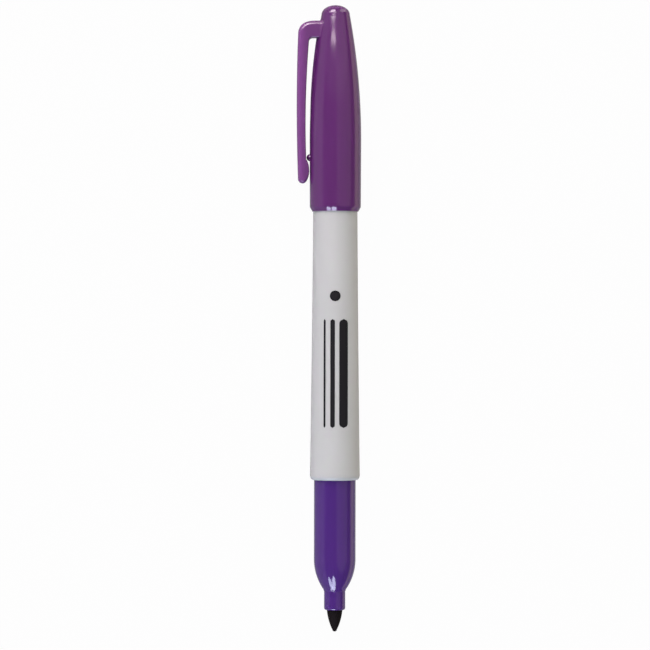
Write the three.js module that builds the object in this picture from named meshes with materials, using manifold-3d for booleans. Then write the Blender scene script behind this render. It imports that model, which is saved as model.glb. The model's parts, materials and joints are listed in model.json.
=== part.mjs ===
// A fine-point permanent marker with its clip cap pushed onto the tail of the barrel.
// Every piece is made about one axis: y runs from the nib's tip (y = 0) to the top of the cap, and the
// pocket clip stands out along -x. The finished marker is then laid on its side, as it rests on a desk,
// on the cap, the barrel and the edge of the clip. Sizes are in millimetres.
import * as THREE from "three";
import { mergeVertices } from "three/addons/utils/BufferGeometryUtils.js";
import Module from "manifold-3d";

const wasm = await Module();
wasm.setup();

// Facets
const roundSides = 40; // sides of every large round piece, all turned alike so that walls stay parallel
const nibSides = 24;
const tubeSides = 10;

// Clearances
const pressGap = 0.1; // between pieces pushed together at the factory
const capGap = 0.15; // between the cap's mouth and the barrel
const seatGap = 0.3; // where one piece stops against another
const clipGap = 0.15; // between the closed clip and the cap

// Nib
const nibRadius = 1.93;
const nibReach = 5.2; // how far it stands out of the grip section
const nibLength = 38;
const nibPointRadius = 0.42; // the round end that writes
const nibOgiveRadius = 13.5; // side curve of the bullet point
const nibHeelTaper = 2; // pointed rear end, which goes into the filler
const nibHeelRadius = 1.2;

// Grip section
const sectionLength = 31.2; // from its rim to the barrel's shoulder
const sectionRadius = 4.99;
const sectionWall = 0.85;
const neckRadius = 2.54;
const neckLength = 4.7;
const rimRounding = 0.5;
const sectionOgiveRadius = 12.5; // curve from the grip down to the neck
const spigotLength = 12; // the part that is pushed into the barrel
const spigotChamfer = 0.6;
const snapBeadHeight = 0.12;
const snapBeadLength = 1.6;
const snapBeadSetback = 4; // from the shoulder to the bead
const nibSeatLength = 7.7; // bore that grips the nib
const ventGrooves = 3; // let air past the nib
const ventWidth = 0.5;
const ventDepth = 0.32;
const guideRibs = 4; // hold the nib straight and stop the filler
const guideRibThickness = 0.7;

// Barrel
const barrelLength = 87.5;
const barrelFrontRadius = 5.98;
const barrelTailRadius = 5.2;
const barrelDraft = 1.5; // power of the taper: it eases off towards the tail
const barrelWall = 1.0;
const barrelEndWall = 1.2;
const shoulderRounding = 0.9;
const tailRounding = 0.9;
const gateDimpleRadius = 1.4; // where the moulding was filled, in the middle of the tail
const gateDimpleDepth = 0.35;
const standoffRibs = 4; // on the inside of the tail, under the filler
const standoffHeight = 1.0;
const standoffThickness = 0.8;

// Ink filler
const fillerRadius = 3.7;
const fillerFront = 29; // from the nib's tip
const filmThickness = 0.25;
const breatherRadius = 0.55; // air tube between the filler and its film
const breatherBore = 0.3;

// Cap
const capLength = 49.5;
const capRadius = 6.18;
const capLipRadius = 6.12;
const capStraight = 17; // from the lip to where the sides start to close in
const capTopRadius = 3.4; // where the sides meet the dome
const capDomeHeight = 2.25;
const capWall = 0.95;
const capLipRounding = 0.62;
const capLipHeight = 1.1;
const postDepth = 23.1; // how far the tail goes into the cap
const capGuideHeight = 0.2; // low ridge on the cap, under the clip
const capGuideWidth = 1.3;
const capGuideEnd = 22; // from the lip
const nubRadius = 0.85; // tooth on the cap, behind the end of the clip
const nubHeight = 0.7;
const nubFromLip = 12.9;

// Inner cap, which seals over the neck
const innerCapWall = 0.55;
const innerCapEndWall = 0.8;
const innerCapNibRoom = 1.5; // beyond the nib's tip when the cap is on

// Pocket clip
const clipReach = 9.26; // from the axis to its outer face, at the bow
const clipShoulderReach = 8.98; // the same, just below the corner
const clipTipReach = 8.9;
const clipLength = 38.86;
const clipThickness = 2; // at the bow
const clipCornerThickness = 2.6; // where it turns into the arm
const clipPadThickness = 2.14; // just above the pad
const clipBelowTop = 3.93; // from the top of the cap down to the arm
const clipArmHeight = 4.02;
const clipCornerAcross = 3.96; // reach of the corner's bend along the arm
const clipCornerDown = 3.17; // and down the clip
const clipCornerDrop = 0.1; // how far the arm's top falls towards the corner
const clipSlotRadius = 0.6;
const clipEndRadius = 1.15; // round outer corner of its free end
const clipWidth = 4.3; // at the arm
const clipTipWidth = 3.5;
const clipEdgeRounding = 0.35; // all round
const clipCrownRounding = 1; // along its outer side, where the hand and the desk touch it
const clipPadDrop = 3.1; // from the clip's end up to the high point of the pad that grips the cloth
const clipRootOverlap = 1.2; // how deep the arm's root runs into the cap's wall
const clipSplit = 5.0; // from the axis to the line about which the clip bends
const clipSplitGap = 0.2;

// Places along the axis
const rimY = nibReach;
const neckTopY = rimY + neckLength;
const ogiveTail = sectionOgiveRadius - sectionRadius + neckRadius;
const ogiveEndY = neckTopY + Math.sqrt(sectionOgiveRadius ** 2 - ogiveTail ** 2);
const shoulderY = rimY + sectionLength;
const tailY = shoulderY + barrelLength;
const lipY = tailY - postDepth;
const capTopY = lipY + capLength;
const capDomeY = capTopY - capDomeHeight;
const armTopY = capTopY - clipBelowTop;
const clipEndY = armTopY - clipLength;
const innerCapY = tailY + seatGap;
const innerCapEndY = capOnY(0) + innerCapNibRoom;
const fillerEndY = tailY - barrelEndWall - standoffHeight - seatGap;
const spigotY = shoulderY + spigotLength;

// The roll about the marker's own axis at which the clip's edge meets the desk that the cap lies on.
const flatRadius = capRadius * Math.cos(Math.PI / roundSides);
const restAngle = Math.min(...clipOuterFace().map(rollToTouch));
const firstMeridian = Math.PI + restAngle + Math.PI / roundSides; // puts the middle of a facet underneath

function rollToTouch(point) {
  const out = -point.x - clipCrownRounding;
  const aside = clipWidthAt(point.y) / 2 - clipCrownRounding;
  return Math.asin((flatRadius - clipCrownRounding) / Math.hypot(out, aside)) - Math.atan2(aside, out);
}

// Where a point of the marker is inside the cap when the cap closes on the shoulder instead.
function capOnY(y) {
  return lipY + shoulderY - y;
}

function arcDrop(radius, distance) {
  return radius - Math.sqrt(Math.max(radius * radius - distance * distance, 0));
}

function sectionRadiusAt(y) {
  return sectionRadius - arcDrop(sectionOgiveRadius, Math.max(ogiveEndY - y, 0));
}

function barrelRadiusAt(y) {
  const fromTail = THREE.MathUtils.clamp((tailY - y) / barrelLength, 0, 1);
  return barrelTailRadius + (barrelFrontRadius - barrelTailRadius) * fromTail ** barrelDraft;
}

function capRadiusAt(y) {
  const straightEnd = lipY + capStraight;
  if (y < straightEnd) return THREE.MathUtils.mapLinear(y, lipY, straightEnd, capLipRadius, capRadius);
  const height = capDomeY - straightEnd;
  const drop = capRadius - capTopRadius;
  const ogiveRadius = (height * height + drop * drop) / (2 * drop);
  return capRadius - arcDrop(ogiveRadius, y - straightEnd);
}

function clipWidthAt(y) {
  return THREE.MathUtils.mapLinear(y, clipEndY, armTopY, clipTipWidth, clipWidth);
}

// Points of an arc or ellipse about (x, y); angles in degrees, 0 along +x and 90 along +y.
function arc(x, y, radiusX, radiusY, from, to, steps) {
  return Array.from({ length: steps + 1 }, (_, i) => {
    const angle = THREE.MathUtils.degToRad(from + ((to - from) * i) / steps);
    return new THREE.Vector2(x + radiusX * Math.cos(angle), y + radiusY * Math.sin(angle));
  });
}

// Points (radiusAt(y), y) from one height to another.
function side(radiusAt, from, to, steps) {
  return Array.from({ length: steps + 1 }, (_, i) => {
    const y = from + ((to - from) * i) / steps;
    return new THREE.Vector2(radiusAt(y), y);
  });
}

function at(radius, y) {
  return new THREE.Vector2(radius, y);
}

// Points of a smooth bend from one point to another, drawn towards a third.
function bend(from, towards, to, steps = 10) {
  return new THREE.QuadraticBezierCurve(at(...from), at(...towards), at(...to)).getPoints(steps);
}

// A solid of revolution. The profile starts and ends on the axis, or closes on itself.
function revolve(profile, sides = roundSides) {
  const turned = new THREE.LatheGeometry(profile, sides, firstMeridian, 2 * Math.PI);
  return toSolid(turned);
}

function toSolid(geometry) {
  const bare = geometry.clone();
  bare.deleteAttribute("normal");
  bare.deleteAttribute("uv");
  const merged = mergeVertices(bare, 1e-4);
  const corners = [];
  const index = merged.index.array;
  for (let i = 0; i < index.length; i += 3) {
    const [a, b, c] = [index[i], index[i + 1], index[i + 2]];
    if (a !== b && b !== c && c !== a) corners.push(a, b, c);
  }
  const places = merged.attributes.position.array;
  const mesh = new wasm.Mesh({ numProp: 3, vertProperties: places, triVerts: new Uint32Array(corners) });
  return new wasm.Manifold(mesh);
}

function toGeometry(solid) {
  const mesh = solid.getMesh();
  const geometry = new THREE.BufferGeometry();
  geometry.setAttribute("position", new THREE.BufferAttribute(mesh.vertProperties, 3));
  geometry.setIndex(new THREE.BufferAttribute(mesh.triVerts, 1));
  geometry.computeVertexNormals();
  return geometry;
}

// Fins that run out from the axis, one every full turn / count.
function radialFins(count, innerRadius, outerRadius, thickness, fromY, toY) {
  const fins = Array.from({ length: count }, (_, i) => {
    const fin = new THREE.BoxGeometry(outerRadius - innerRadius, toY - fromY, thickness);
    fin.translate((innerRadius + outerRadius) / 2, (fromY + toY) / 2, 0);
    fin.rotateY((2 * Math.PI * i) / count);
    return toSolid(fin);
  });
  return fins.reduce((joined, fin) => joined.add(fin));
}

function nib() {
  const ogiveStart = rimY + 1.2;
  const pointY = nibPointRadius;
  const bullet = side((y) => nibRadius - arcDrop(nibOgiveRadius, ogiveStart - y), pointY, ogiveStart, 8);
  return revolve(
    [
      ...arc(0, nibPointRadius, bullet[0].x, nibPointRadius, -90, -22.5, 3),
      ...bullet,
      at(nibRadius, nibLength - nibHeelTaper),
      at(nibHeelRadius, nibLength),
      at(0, nibLength),
    ],
    nibSides,
  );
}

// The moulding that carries the nib: rim, neck, rounded shoulder, grip and a spigot for the barrel.
function gripSection() {
  const beadY = shoulderY + snapBeadSetback;
  const seatRadius = nibRadius + pressGap;
  const seatEnd = rimY + nibSeatLength;
  const chamberRadius = sectionRadius - sectionWall;
  const blank = revolve([
    at(0, rimY),
    ...arc(neckRadius - rimRounding, rimY + rimRounding, rimRounding, rimRounding, -90, 0, 4),
    ...side(sectionRadiusAt, neckTopY, ogiveEndY, 8),
    at(sectionRadius, beadY),
    at(sectionRadius + snapBeadHeight, beadY + snapBeadLength / 2),
    at(sectionRadius, beadY + snapBeadLength),
    at(sectionRadius, spigotY - spigotChamfer),
    at(sectionRadius - spigotChamfer / 2, spigotY),
    at(0, spigotY),
  ]);
  const chamber = revolve([
    at(0, seatEnd),
    at(seatRadius * 0.8, seatEnd),
    at(chamberRadius, ogiveEndY),
    at(chamberRadius, spigotY + 1),
    at(0, spigotY + 1),
  ]);
  const boreStart = rimY - 1;
  const boreStop = spigotY + 2;
  const boreSide = [at(seatRadius, boreStart), at(seatRadius, boreStop)];
  const nibBore = revolve([at(0, boreStart), ...boreSide, at(0, boreStop)]);
  const ribsEnd = fillerFront - seatGap;
  const ribs = radialFins(guideRibs, 0, sectionRadius, guideRibThickness, seatEnd - 1, ribsEnd);
  const ventReach = seatRadius + ventDepth;
  const vents = radialFins(ventGrooves, 0, ventReach, ventWidth, rimY - 2, seatEnd + 2);
  return blank.subtract(chamber.subtract(ribs)).subtract(nibBore.add(vents));
}

// A tapered tube, closed at the tail, with a socket for the grip section.
function barrel() {
  const socketRadius = sectionRadius + pressGap;
  const socketEnd = spigotY + seatGap;
  const boreEnd = tailY - barrelEndWall;
  const bore = (y) => Math.min(barrelRadiusAt(y) - barrelWall, socketRadius);
  const beadY = shoulderY + snapBeadSetback;
  const shoulderIn = shoulderRounding * 0.8;
  const shoulderEnd = shoulderY + shoulderRounding;
  const tailEdge = tailY - tailRounding;
  const outside = [
    ...arc(barrelFrontRadius - shoulderIn, shoulderEnd, shoulderIn, shoulderRounding, -90, -8, 4),
    ...side(barrelRadiusAt, shoulderEnd + shoulderRounding * 0.4, tailEdge, 7),
    ...arc(barrelTailRadius - tailRounding, tailEdge, tailRounding, tailRounding, 12, 90, 4),
    at(gateDimpleRadius, tailY),
    at(gateDimpleRadius * 0.6, tailY - gateDimpleDepth),
    at(0, tailY - gateDimpleDepth),
  ];
  const inside = [
    at(0, boreEnd),
    ...side(bore, boreEnd, socketEnd, 4),
    at(socketRadius, socketEnd),
    at(socketRadius, beadY + snapBeadLength),
    at(socketRadius + snapBeadHeight, beadY + snapBeadLength / 2),
    at(socketRadius, beadY),
    at(socketRadius, shoulderY),
  ];
  const shell = revolve([...outside, ...inside, outside[0]]);
  const ribReach = barrelTailRadius - barrelWall / 2;
  const ribTop = boreEnd - standoffHeight;
  const ribRoot = boreEnd + barrelEndWall / 3;
  const ribs = radialFins(standoffRibs, fillerRadius * 0.35, ribReach, standoffThickness, ribTop, ribRoot);
  return shell.add(ribs);
}

// The breather lies against the film, in a groove along the filler.
const breatherAside = fillerRadius + pressGap - breatherRadius - 0.05;

function breatherHole(radius, fromY, toY) {
  const hole = new THREE.CylinderGeometry(radius, radius, toY - fromY, tubeSides);
  hole.translate(breatherAside, (fromY + toY) / 2, 0);
  return toSolid(hole);
}

// A rod of bonded fibre that holds the ink, with a socket for the nib's heel.
function inkFiller() {
  const socketRadius = nibRadius + pressGap;
  const socketEnd = nibLength + seatGap;
  const rod = revolve([
    at(socketRadius, fillerFront),
    at(fillerRadius, fillerFront),
    at(fillerRadius, fillerEndY),
    at(0, fillerEndY),
    at(0, socketEnd),
    at(nibHeelRadius + pressGap, socketEnd),
    at(socketRadius, socketEnd - nibHeelTaper),
    at(socketRadius, fillerFront),
  ]);
  return rod.subtract(breatherHole(breatherRadius + pressGap, fillerFront - 1, fillerEndY + 1));
}

function fillerFilm() {
  const inner = fillerRadius + pressGap;
  const outer = inner + filmThickness;
  return revolve([
    at(inner, fillerFront),
    at(outer, fillerFront),
    at(outer, fillerEndY),
    at(inner, fillerEndY),
    at(inner, fillerFront),
  ]);
}

function breatherTube() {
  const tube = breatherHole(breatherRadius, fillerFront, fillerEndY);
  return tube.subtract(breatherHole(breatherBore, fillerFront - 1, fillerEndY + 1));
}

function capBoreAt(y) {
  return y < innerCapY ? barrelRadiusAt(y) + capGap : capRadiusAt(y) - capWall;
}

// The long outer face of the clip, which bows out a little between its corner and its end.
function clipOuterFace() {
  const middleY = (armTopY + clipEndY) / 2;
  const bowX = 2 * clipReach - (clipShoulderReach + clipTipReach) / 2;
  const start = [-clipShoulderReach, armTopY - clipCornerDown];
  return bend(start, [-bowX, middleY], [-clipTipReach, clipEndY + clipEndRadius], 9);
}

// The clip's outer side, from the arm's root round the corner and down to its rounded end.
function clipOuterSide(rootX) {
  const cornerStart = [clipCornerAcross - clipShoulderReach, armTopY];
  const corner = [-clipShoulderReach, armTopY - clipCornerDrop];
  const face = clipOuterFace();
  const end = at(clipEndRadius - clipTipReach, clipEndY + clipEndRadius);
  return [
    at(rootX, armTopY),
    ...bend(cornerStart, corner, [face[0].x, face[0].y], 7),
    ...face.slice(1),
    ...arc(end.x, end.y, clipEndRadius, clipEndRadius, 195, 270, 3),
  ];
}

// A side view of the clip extruded across it, narrower towards the clip's end, with its edges rounded.
function acrossClip(outline, rounding) {
  const blank = new THREE.ExtrudeGeometry(new THREE.Shape(outline), {
    depth: clipWidth - 2 * rounding,
    bevelThickness: rounding,
    bevelSize: rounding,
    bevelOffset: -rounding,
    bevelSegments: 3,
  });
  blank.translate(0, 0, rounding - clipWidth / 2);
  const places = blank.attributes.position;
  for (let i = 0; i < places.count; i++) {
    const narrowing = (clipWidth - clipWidthAt(places.getY(i))) / 2;
    places.setZ(i, places.getZ(i) - Math.sign(places.getZ(i)) * narrowing);
  }
  return toSolid(blank);
}

// The clip and its arm, whole, as one moulding: crowned outside, nearly sharp inside, with a pad at
// its end.
function clipBlank() {
  const slotTopY = armTopY - clipArmHeight;
  const middleY = (armTopY + clipEndY) / 2;
  const padX = clipTipReach - clipEndRadius;
  const padY = clipEndY + clipPadDrop;
  const padSize = padX - capRadiusAt(padY) - clipGap;
  const padBackX = clipReach - clipPadThickness;
  const slotX = clipShoulderReach - clipCornerThickness;
  const slotCornerY = slotTopY - clipSlotRadius;
  const bowX = 2 * (clipReach - clipThickness) - (padBackX + slotX) / 2;
  const back = bend([-padBackX, padY + clipPadDrop], [-bowX, middleY], [-slotX, slotCornerY]);
  const sideView = [
    ...clipOuterSide(-(capRadiusAt(armTopY) - clipRootOverlap)),
    ...arc(-padX, padY, padSize, clipPadDrop, -75, 60, 8),
    ...back,
    ...arc(clipSlotRadius - slotX, slotCornerY, clipSlotRadius, clipSlotRadius, 150, 90, 2),
    at(-(capRadiusAt(slotTopY) - clipRootOverlap), slotTopY),
  ];
  const crown = [...clipOuterSide(0), at(0, clipEndY)];
  return acrossClip(sideView, clipEdgeRounding).intersect(acrossClip(crown, clipCrownRounding));
}

// Everything on the clip's side of a plane, or on the cap's side of it.
function besideSplit(outward) {
  const size = 4 * capLength;
  const block = new THREE.BoxGeometry(size, size, size);
  const face = clipSplit + (outward ? 1 : -1) * (clipSplitGap / 2);
  block.translate(-face + (outward ? -1 : 1) * (size / 2), capTopY, 0);
  return toSolid(block);
}

function pocketClip() {
  return clipBlank().intersect(besideSplit(true));
}

// A low ridge on the cap, down the middle of the slot behind the clip.
function capGuide() {
  const from = lipY + capGuideEnd;
  const to = armTopY - clipArmHeight + 0.5;
  const ridge = (y) => -(capRadiusAt(y) + (capGuideHeight * (y - from)) / (to - from));
  const root = (y) => -(capRadiusAt(y) - capWall / 2);
  const outline = new THREE.Shape([...side(ridge, from, to, 6), ...side(root, to, from, 6)]);
  const strip = new THREE.ExtrudeGeometry(outline, { depth: capGuideWidth, bevelEnabled: false });
  strip.translate(0, 0, -capGuideWidth / 2);
  return toSolid(strip);
}

function capNub() {
  const nub = new THREE.SphereGeometry(nubRadius, 12, 8);
  const y = lipY + nubFromLip;
  nub.translate(-(capRadiusAt(y) + nubHeight - nubRadius), y, 0);
  return toSolid(nub);
}

// The outer cap: a domed ogive with the clip's arm, a guide ridge and a tooth moulded on.
function capShell() {
  const lipBore = barrelRadiusAt(lipY) + capGap;
  const lipEdge = lipBore + 0.06;
  const outside = [
    at(lipEdge, lipY),
    ...arc(lipEdge, lipY + capLipHeight, capLipRadius - lipEdge, capLipHeight, -78, -8, 5),
    ...side(capRadiusAt, lipY + capLipHeight * 1.6, lipY + capStraight, 3),
    ...side(capRadiusAt, lipY + capStraight, capDomeY, 12).slice(1),
    ...arc(0, capDomeY, capTopRadius, capDomeHeight, 15, 90, 6),
  ];
  const inside = [
    ...arc(0, capDomeY, capTopRadius - capWall, capDomeHeight - capWall, 90, 15, 3),
    ...side(capBoreAt, capDomeY, innerCapY, 8),
    ...side((y) => barrelRadiusAt(y) + capGap, innerCapY, lipY + capLipRounding, 3),
    at(lipEdge, lipY),
  ];
  const hollow = revolve([...inside, at(lipEdge, lipY - 1), at(0, lipY - 1)].reverse());
  const blank = revolve([at(0, lipY), ...outside]);
  const arm = clipBlank().intersect(besideSplit(false));
  return blank.add(arm).add(capGuide()).add(capNub()).subtract(hollow);
}

// A soft cup inside the cap. Its rim meets the section's shoulder, and its closed end clears the nib.
function innerCap() {
  const outer = (y) => capBoreAt(Math.max(y, innerCapY)) - pressGap;
  const rim = sectionRadiusAt(capOnY(innerCapY)) + pressGap;
  const chamberY = innerCapY + 2.5;
  const end = innerCapEndY + innerCapEndWall;
  const outside = [at(rim, innerCapY), ...side(outer, innerCapY, end, 7), at(0, end)];
  const inner = (y) => outer(y) - innerCapWall;
  const inside = [at(0, innerCapEndY), ...side(inner, innerCapEndY, chamberY, 6), at(rim, innerCapY)];
  return revolve([...outside, ...inside]);
}

const colours = {
  purple: new THREE.MeshStandardMaterial({ color: 0x6a3277, roughness: 0.3, metalness: 0 }),
  violet: new THREE.MeshStandardMaterial({ color: 0x4f2d7d, roughness: 0.35, metalness: 0 }),
  grey: new THREE.MeshStandardMaterial({ color: 0xc8c8ca, roughness: 0.5, metalness: 0 }),
  felt: new THREE.MeshStandardMaterial({ color: 0x15100f, roughness: 0.95, metalness: 0 }),
  inkedFibre: new THREE.MeshStandardMaterial({ color: 0x3b2260, roughness: 1, metalness: 0 }),
  film: new THREE.MeshStandardMaterial({ color: 0xe4e2ea, roughness: 0.2, metalness: 0 }),
  milkyLiner: new THREE.MeshStandardMaterial({ color: 0xe9e7ec, roughness: 0.45, metalness: 0 }),
};

function piece(name, solid, material) {
  const mesh = new THREE.Mesh(toGeometry(solid), material);
  mesh.name = name;
  return mesh;
}

const marker = new THREE.Group();
marker.add(
  piece("barrel", barrel(), colours.grey),
  piece("grip_section", gripSection(), colours.violet),
  piece("nib", nib(), colours.felt),
  piece("ink_filler", inkFiller(), colours.inkedFibre),
  piece("filler_film", fillerFilm(), colours.film),
  piece("breather_tube", breatherTube(), colours.film),
  piece("cap_shell", capShell(), colours.purple),
  piece("inner_cap", innerCap(), colours.milkyLiner),
  piece("pocket_clip", pocketClip(), colours.purple),
);

// Laid along x with the nib towards +x, then rolled until the clip's edge touches down on the -y side.
marker.rotation.z = Math.PI / 2;
const rolled = new THREE.Group();
rolled.rotation.x = restAngle;
rolled.add(marker);

// The origin is on the desk, under the middle of the marker.
const lying = new THREE.Group();
lying.add(rolled);
const extent = new THREE.Box3().setFromObject(lying, true);
const middle = extent.getCenter(new THREE.Vector3());
rolled.position.set(-middle.x, -middle.y, -extent.min.z);

export default lying;
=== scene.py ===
# A permanent marker with its cap on its tail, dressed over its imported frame.
# The file is laid out as an add-on and run as a script: main() registers it and runs each operator once.
# Pieces are drawn upright at the bench, in metres: y runs from the nib's tip to the top of the cap, and the
# clip stands out along -x. LAY_DOWN then places them where the frame has them.
import json
import math

import bmesh
import bpy
from bpy.props import FloatProperty, FloatVectorProperty, IntProperty, PointerProperty
from mathutils import Matrix, Vector


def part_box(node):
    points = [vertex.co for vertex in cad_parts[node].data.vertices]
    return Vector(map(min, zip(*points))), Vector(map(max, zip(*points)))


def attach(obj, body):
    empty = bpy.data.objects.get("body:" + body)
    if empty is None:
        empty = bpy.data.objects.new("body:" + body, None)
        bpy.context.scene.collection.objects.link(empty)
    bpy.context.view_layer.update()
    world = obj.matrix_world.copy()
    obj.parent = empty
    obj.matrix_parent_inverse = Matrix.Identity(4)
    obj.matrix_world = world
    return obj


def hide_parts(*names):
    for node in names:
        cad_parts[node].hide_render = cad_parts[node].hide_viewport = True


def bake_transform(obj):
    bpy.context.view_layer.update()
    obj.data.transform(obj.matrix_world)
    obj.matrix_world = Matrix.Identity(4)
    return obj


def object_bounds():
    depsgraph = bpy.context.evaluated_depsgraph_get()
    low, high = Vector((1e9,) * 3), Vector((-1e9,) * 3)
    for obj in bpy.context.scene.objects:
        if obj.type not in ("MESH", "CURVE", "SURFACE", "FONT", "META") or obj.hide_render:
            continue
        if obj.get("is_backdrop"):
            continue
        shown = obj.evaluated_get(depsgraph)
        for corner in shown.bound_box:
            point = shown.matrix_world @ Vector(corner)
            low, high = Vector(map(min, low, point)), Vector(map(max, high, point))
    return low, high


bl_info = {
    "name": "Permanent Marker",
    "version": (1, 0, 0),
    "blender": (4, 5, 0),
    "location": "View3D > Sidebar > Marker",
    "description": "Models a slim permanent marker, its clip cap and a plain studio round them",
    "category": "Add Mesh",
}

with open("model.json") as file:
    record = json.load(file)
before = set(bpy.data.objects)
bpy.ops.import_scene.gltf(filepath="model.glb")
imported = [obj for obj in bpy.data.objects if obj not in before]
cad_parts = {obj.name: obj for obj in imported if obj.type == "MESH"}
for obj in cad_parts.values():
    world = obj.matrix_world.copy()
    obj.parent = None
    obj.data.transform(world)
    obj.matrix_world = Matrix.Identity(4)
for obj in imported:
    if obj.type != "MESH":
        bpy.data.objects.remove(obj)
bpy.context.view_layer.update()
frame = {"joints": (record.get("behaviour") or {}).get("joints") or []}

MM = 0.001
WELD = 0.001 * MM  # points as near as this are one
PRESS_GAP = 0.1 * MM  # left between pieces pushed together
SEAT_GAP = 0.3 * MM  # left where one piece stops short of another
FILLER_RADIUS = 3.7 * MM
AIR_TUBE_ASIDE = 3.2 * MM  # from the axis to the air tube's middle
PLASTIC_IOR = 1.59


def joint(name):
    """One of the frame's joints."""
    return next(j for j in frame["joints"] if j["name"] == name)


# The clip bends about a line square to the marker, and its direction gives the marker's roll on the desk.
ROLL = math.atan2(joint("clip_flex")["axis"][1], -joint("clip_flex")["axis"][2])
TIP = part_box("nib")[1].x
AXIS = (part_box("barrel")[0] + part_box("barrel")[1]) / 2
QUARTER_TURN = Matrix.Rotation(math.pi / 2, 4, "Z")
LAY_DOWN = Matrix.Translation((TIP, AXIS.y, AXIS.z)) @ Matrix.Rotation(ROLL, 4, "X") @ QUARTER_TURN


def along(world_x):
    """The bench's y of a place along the frame's X axis."""
    return TIP - world_x


RIM_Y = along(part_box("grip_section")[1].x)
SPIGOT_Y = along(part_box("grip_section")[0].x)
SHOULDER_Y = along(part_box("barrel")[1].x)
TAIL_Y = along(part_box("barrel")[0].x)
LIP_Y = along(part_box("cap_shell")[1].x)
CAP_TOP_Y = along(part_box("cap_shell")[0].x)
LINER_Y = along(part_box("inner_cap")[1].x)
LINER_END_Y = along(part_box("inner_cap")[0].x)
ARM_TOP_Y = along(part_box("pocket_clip")[0].x)
CLIP_END_Y = along(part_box("pocket_clip")[1].x)
FILLER_Y = along(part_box("ink_filler")[1].x)
FILLER_END_Y = along(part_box("ink_filler")[0].x)
NIB_END_Y = along(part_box("nib")[0].x)


def length(name, description, millimetres):
    """A size that the panel shows."""
    return FloatProperty(
        name=name, description=description, default=millimetres * MM,
        unit="LENGTH", subtype="DISTANCE", precision=5,
    )


def colour(name, description, red, green, blue):
    """A colour that the panel shows."""
    return FloatVectorProperty(
        name=name, description=description, default=(red, green, blue),
        subtype="COLOR", size=3, min=0, max=1,
    )


class BarrelSizes(bpy.types.PropertyGroup):
    """The grey tube and the coloured section pushed into it."""

    front_radius: length("Front radius", "Of the barrel, behind its shoulder", 5.98)
    tail_radius: length("Tail radius", "Of the barrel at its closed end", 5.2)
    draft: FloatProperty(name="Draft", description="How late the taper eases off", default=1.5, min=1)
    wall: length("Wall", "Of the barrel", 1.0)
    end_wall: length("End wall", "Of the barrel's tail", 1.2)
    shoulder_rounding: length("Shoulder rounding", "Edge round the barrel's front", 1.2)
    tail_rounding: length("Tail rounding", "Edge round the barrel's tail", 0.9)
    section_radius: length("Section radius", "Of the grip section", 4.99)
    section_wall: length("Section wall", "Of the grip section", 0.85)
    section_curve: length("Section curve", "Radius of the curve down to the neck", 12.5)
    neck_radius: length("Neck radius", "Of the neck round the nib", 2.54)
    neck_length: length("Neck length", "From the rim to the curve", 4.7)
    rim_rounding: length("Rim rounding", "Edge round the nib", 0.5)
    nib_radius: length("Nib radius", "Of the felt rod", 1.93)
    nib_point: length("Nib point", "Radius of the end that writes", 0.42)
    nib_curve: length("Nib curve", "Radius of the bullet's side", 13.5)


class CapSizes(bpy.types.PropertyGroup):
    """The cap, its clip and the cup inside it."""

    radius: length("Cap radius", "At its widest", 6.18)
    lip_radius: length("Lip radius", "Of the cap just above its lip", 6.12)
    top_radius: length("Top radius", "Where the sides meet the dome", 3.4)
    dome_height: length("Dome height", "Of the rounded end", 2.25)
    straight: length("Straight", "From the lip to where the sides close in", 17)
    wall: length("Wall", "Of the cap", 0.95)
    clearance: length("Clearance", "Between the cap's mouth and the barrel", 0.15)
    lip_height: length("Lip height", "Of the rounded band at the mouth", 1.3)
    lip_drop: length("Lip drop", "How far that band draws in", 0.58)
    clip_reach: length("Clip reach", "From the axis to the clip's outer face, at its bow", 9.32)
    clip_shoulder: length("Clip shoulder", "The same, below the corner", 9.02)
    clip_tip: length("Clip tip", "The same, at the free end", 9.0)
    clip_thickness: length("Clip thickness", "At the bow", 2.2)
    corner_thickness: length("Corner thickness", "Of the clip where it turns into the arm", 2.6)
    pad_thickness: length("Pad thickness", "Of the clip just above its pad", 2.3)
    clip_width: length("Clip width", "At the arm", 4.3)
    clip_tip_width: length("Clip tip width", "At the free end", 3.5)
    arm_height: length("Arm height", "From the arm's top to the slot", 3.86)
    arm_crown: length("Arm crown", "Extra height of the arm's crowned top", 0.2)
    corner_across: length("Corner across", "Reach of the corner's bend along the arm", 3.96)
    corner_down: length("Corner down", "Reach of the corner's bend down the clip", 3.17)
    slot_radius: length("Slot radius", "Inner corner of the arm", 0.9)
    end_radius: length("End radius", "Round corner of the free end", 1.15)
    crown_depth: length("Crown depth", "How far the outer edges are rounded, seen from beside", 1.05)
    crown_width: length("Crown width", "The same, seen from outside", 1.5)
    edge_rounding: length("Edge rounding", "Of the clip's inner edges", 0.25)
    pad_drop: length("Pad drop", "From the free end to the pad's high point", 3.1)
    root_fillet: length("Root fillet", "Where the arm grows out of the cap", 0.3)


class Finishes(bpy.types.PropertyGroup):
    """Colours of the plastics, the felt and the ink."""

    cap: colour("Cap", "Glossy red-purple plastic", 0.094, 0.0188, 0.116)
    # Painted light: the clip is the cap's plastic painted lighter, standing in for light that comes through
    # its thin walls
    clip: colour("Clip", "The same plastic, lighter where it is thin", 0.155, 0.0435, 0.178)
    section: colour("Section", "Glossy blue-violet plastic", 0.0557, 0.0152, 0.147)
    barrel: colour("Barrel", "Satin light grey plastic", 0.44, 0.465, 0.43)
    marks: colour("Marks", "Ink of the printed strokes", 0.008, 0.008, 0.009)
    felt: colour("Felt", "Nib soaked with ink", 0.0045, 0.003, 0.003)
    liner: colour("Liner", "Milky soft plastic", 0.78, 0.76, 0.8)
    segments: IntProperty(name="Segments", description="Faces round each turned piece", default=128, min=24)


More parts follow.
